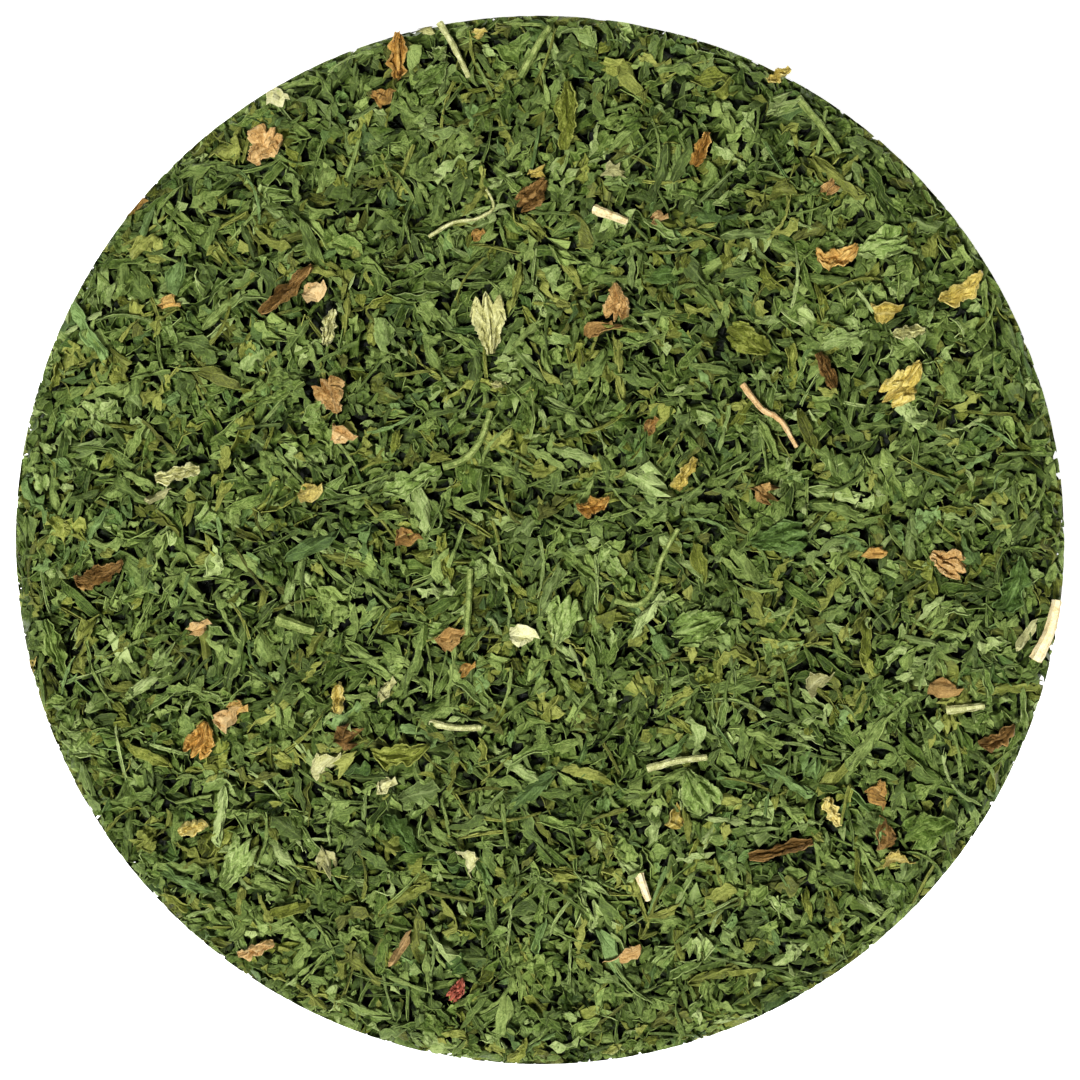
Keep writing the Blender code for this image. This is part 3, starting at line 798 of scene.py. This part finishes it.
class LeafForm:
    """The form of a CAD leaf piece: its own axes, its outline along its length, and its solid."""

    def __init__(self, mesh):
        corners = np.array([tuple(vertex.co) for vertex in mesh.vertices])
        faces = [tuple(face.vertices) for face in mesh.polygons]
        self.solid = BVHTree.FromPolygons([Vector(corner) for corner in corners], faces)
        self.centre = corners.mean(axis=0)
        long_way, wide_way, _ = np.linalg.svd(corners - self.centre)[2]
        self.normal = np.cross(long_way, wide_way)
        if self.normal[2] < 0:
            wide_way = -wide_way
            self.normal = -self.normal
        long_places = (corners - self.centre) @ long_way
        wide_places = np.abs((corners - self.centre) @ wide_way)
        if wide_places[long_places < 0].max() > wide_places[long_places > 0].max():
            long_way = -long_way
            wide_way = -wide_way
        self.long_way = long_way
        self.wide_way = wide_way
        self.measure_outline(corners, faces)

    def measure_outline(self, corners, faces):
        """Its left and right limits along its length. A broad leaf keeps its width to the end."""
        ends = [(corners[face[i]], corners[face[i - 1]]) for face in faces for i in range(len(face))]
        ends = np.array(ends)
        steps = np.linspace(0, 1, EDGE_STEPS)[:, None, None]
        on_edges = (ends[:, 0] * (1 - steps) + ends[:, 1] * steps).reshape(-1, 3) - self.centre
        long_places = on_edges @ self.long_way
        wide_places = on_edges @ self.wide_way
        self.low, self.high = long_places.min(), long_places.max()
        self.stations = np.linspace(self.low, self.high, STATIONS)
        reach = (self.high - self.low) / 22
        near_each = [np.abs(long_places - station) < reach for station in self.stations]
        self.left = np.array([wide_places[near].min() for near in near_each])
        self.right = np.array([wide_places[near].max() for near in near_each])
        self.broad = (self.right - self.left).max() > BROAD * (self.high - self.low)
        if self.broad:
            self.left = np.minimum.accumulate(self.left)
            self.right = np.maximum.accumulate(self.right)

    def flat_place(self, along, across, lobes, seed):
        """A point of the torn, toothed sheet, before crumpling. A broad leaf is fingered, others are lobed."""
        station = self.low + (self.high - self.low) * along
        if self.broad:
            fingers = abs(math.cos(1.5 * math.pi * across))
            station -= (self.high - self.low) * along * (0.22 * (1 - fingers) + 0.14 * across**2)
        start = np.interp(station, self.stations, self.left)
        end = np.interp(station, self.stations, self.right)
        tear = noise.noise(seed + Vector((7.0 * along, 1.2 * across, 0)))
        tooth = noise.noise(seed + Vector((21.0 * along, 2.0 * across, 5)))
        lobe = abs((lobes * along + (0.3 if across < 0 else 0.75)) % 1.0 - 0.5) * 2
        whole = 0.88 if self.broad else 0.62 + 0.42 * lobe
        reach_out = across * (whole + (0.28 if self.broad else 0.45) * tear + 0.22 * tooth)
        wide_place = (start + end) / 2 + (end - start) / 2 * reach_out
        return Vector(self.centre + self.long_way * station + self.wide_way * wide_place)

    def middle_height(self, spot):
        """The point of the solid's middle sheet over or under a spot."""
        up = Vector(self.normal)
        hit = self.solid.ray_cast(spot + up * RAY_START, -up)[0]
        under = self.solid.ray_cast(spot - up * RAY_START, up)[0]
        if hit is None or under is None:
            nearest = self.solid.find_nearest(spot)[0]
            hit = under = spot + up * (nearest - spot).dot(up)
        return (hit + under) / 2


def crumpled(along, across, seed):
    """How far the crumpled, pleated skin stands off the leaf's middle sheet."""
    crumple = noise.noise(seed + Vector((3.4 * along, 2.0 * across, 11)))
    pleat = 1 - 2 * abs(noise.noise(seed + Vector((1.2 * along, 3.2 * across, 23))))
    crinkle = noise.noise(seed + Vector((11.0 * along, 6.0 * across, 17)))
    return (crumple + 0.7 * pleat + 0.35 * crinkle - 0.3) * MM * CRUMPLE


def fine_leaf(node):
    """A CAD leaf piece again, thinner, with a torn, toothed outline and crumpled skin on the same form."""
    form = LeafForm(frame["nodes"][node].data)
    dice = random.Random(node)
    seed = Vector((dice.uniform(0, 90), dice.uniform(0, 90), 0))
    lobes = dice.choice((1.6, 2.2, 2.8))
    long_cells, wide_cells = LEAF_CELLS
    bpy.ops.mesh.primitive_grid_add(x_subdivisions=long_cells, y_subdivisions=wide_cells, size=2)
    piece = bpy.context.object
    flat = [((v.co.x + 1) / 2, v.co.y) for v in piece.data.vertices]
    up = Vector(form.normal)
    for vertex, (along, across) in zip(piece.data.vertices, flat):
        spot = form.flat_place(along, across, lobes, seed)
        vertex.co = form.middle_height(spot) + up * crumpled(along, across, seed)
    piece.name = node + "_leaf"
    piece.data.name = piece.name
    thicken(piece, ACCENT_THICKNESS)
    piece.data.shade_smooth()
    piece.data.set_sharp_from_angle(angle=math.radians(60))
    for layer in list(piece.data.uv_layers):
        piece.data.uv_layers.remove(layer)
    sheet = np.array(flat * 2)
    sheet[:, 1] = (sheet[:, 1] + 1) / 2
    loops = np.array([loop.vertex_index for loop in piece.data.loops])
    add_map(piece, "leaf", sheet[loops])
    chance = np.full(len(sheet), dice.uniform(0.25, 0.7))
    # The single pieces get no painted heap shade: their shade mark is 1.
    lit = np.ones(len(sheet))
    side = np.repeat([0.0, 1.0], len(flat))
    add_marks(piece, np.column_stack([chance, lit, side, lit]))
    dress(piece, slot_of(node))
    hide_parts(node)
    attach(piece, "root")
    return piece


def rough_stem(node):
    """A CAD stem with its surface refined and roughened where it lies."""
    stem = frame["nodes"][node]
    finer = stem.modifiers.new("finer", "SUBSURF")
    finer.subdivision_type = "SIMPLE"
    finer.levels = 2
    finer.render_levels = 2
    ridges = bpy.data.textures.new(node + "_ridges", "CLOUDS")
    ridges.noise_scale = 0.7 * MM
    rough = stem.modifiers.new("rough", "DISPLACE")
    rough.texture = ridges
    rough.texture_coords = "GLOBAL"
    rough.strength = 0.22 * MM
    rough.mid_level = 0.5
    dress(stem, slot_of(node))
    return stem


def note_on_map(pile, piece):
    """Marks a piece on top in the pile: nothing under it may rise through it, and little may cover it."""
    evaluated = piece.evaluated_get(bpy.context.evaluated_depsgraph_get())
    mesh = evaluated.to_mesh()
    corners = np.array([tuple(piece.matrix_world @ vertex.co) for vertex in mesh.vertices])
    evaluated.to_mesh_clear()
    rows, columns = pile.cells(corners)
    for row, column, low in zip(rows, columns, corners[:, 2]):
        around = (slice(row - 1, row + 2), slice(column - 1, column + 2))
        pile.ceiling[around] = np.minimum(pile.ceiling[around], low)
        pile.kept_clear[row, column] = True
    return corners


def take_as_ground(pile, solids):
    """Once the heap is full the pieces on top become ground that the last scatter can lie on."""
    for corners in solids:
        rows, columns = pile.cells(corners)
        for row, column, high in zip(rows, columns, corners[:, 2]):
            pile.height[row, column] = max(pile.height[row, column], high)


def make_core():
    """The middle of the heap as one closed body, wholly under the flakes, near black as painted shade where
    gaps show it.
    """
    bpy.ops.mesh.primitive_cylinder_add(
        vertices=96, radius=CORE_RADIUS, depth=CORE_TOP, location=(0, 0, CORE_TOP / 2)
    )
    core = bpy.context.object
    bpy.ops.object.transform_apply(location=True)
    core.name = "heap_core"
    core.data.name = "heap_core"
    finish = Finish("leaf_core_painted_shade")
    finish.set(Base_Color=CORE_SHADE_COLOUR, Roughness=1.0, Specular_IOR_Level=0.0)
    core.data.materials.append(finish.material)
    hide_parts("leaf_bed")
    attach(core, "root")


# The studio


def make_floor():
    bpy.ops.mesh.primitive_plane_add(size=4.0, location=(0, 0, 0))
    floor = bpy.context.object
    floor.name = "floor"
    finish = Finish("floor_white")
    finish.set(Base_Color=(0.93, 0.93, 0.93, 1.0), Roughness=0.9)
    finish.set(Emission_Color=(1.0, 1.0, 1.0, 1.0), Emission_Strength=0.85)
    floor.data.materials.append(finish.material)


def soft_light(name, place, size, power):
    """A square soft box that faces the bed."""
    data = bpy.data.lights.new(name, "AREA")
    data.shape = "SQUARE"
    data.size = size
    data.energy = power
    lamp = bpy.data.objects.new(name, data)
    lamp.location = place
    lamp.rotation_euler = Vector(place).to_track_quat("Z", "Y").to_euler()
    bpy.context.scene.collection.objects.link(lamp)


def make_studio():
    make_floor()
    soft_light("key", (-0.14, -0.20, 0.70), 0.14, 8.8)
    soft_light("fill", (0.30, 0.28, 0.85), 0.5, 1.6)
    world = bpy.data.worlds.new("studio")
    world.use_nodes = True
    sky = world.node_tree.nodes["Background"]
    sky.inputs[0].default_value = (1.0, 1.0, 1.0, 1.0)
    sky.inputs[1].default_value = 0.08
    bpy.context.scene.world = world
    bpy.context.scene.view_settings.view_transform = "Standard"


def make_camera():
    """Straight down from above the middle of the bed, which fills 0.9675 of the frame."""
    data = bpy.data.cameras.new("camera")
    data.sensor_width = 36.0
    data.lens = 100.0
    half_view = data.sensor_width / 2 / data.lens
    camera = bpy.data.objects.new("camera", data)
    rim = BED_RADIUS - SIDE_LEAN
    camera.location = (0, 0, FILL_LEVEL - SHOULDER / 2 + rim / (0.9675 * half_view))
    data.clip_start = 0.01
    bpy.context.scene.collection.objects.link(camera)
    bpy.context.scene.camera = camera


def main():
    bpy.ops.object.select_all(action="DESELECT")
    dice = random.Random(7)
    shapes = {name: [FlakeShape(name, dice) for _ in range(FAMILIES[name][0])] for name in FAMILIES}
    nodes = [node for node in frame["nodes"] if node != "leaf_bed"]
    leaves = [fine_leaf(node) for node in nodes if slot_of(node).startswith("leaf")]
    stems = [rough_stem(node) for node in nodes if slot_of(node).startswith("stem")]

    pile = Pile(seed=11)
    solids = [note_on_map(pile, piece) for piece in leaves + stems]
    fill_side(pile, shapes)
    fill(pile, shapes)
    fill_rim(pile, shapes)
    take_as_ground(pile, solids)
    scatter_bits(pile, shapes)
    tuck_in(pile, shapes, solids)
    cover(pile, shapes)

    groups = [(name, finish) for name, finish, _ in GREEN_GROUPS]
    groups += [(finish + "_bits", finish) for finish in sorted({bit[4] for bit in BITS})]
    missing = {name for name, _ in groups} - {laid[4] for laid in pile.laid}
    groups = [group for group in groups if group[0] not in missing]
    make_core()
    for name, finish in groups:
        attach(joined(pile, name, finish), "root")

    make_studio()
    make_camera()


main()
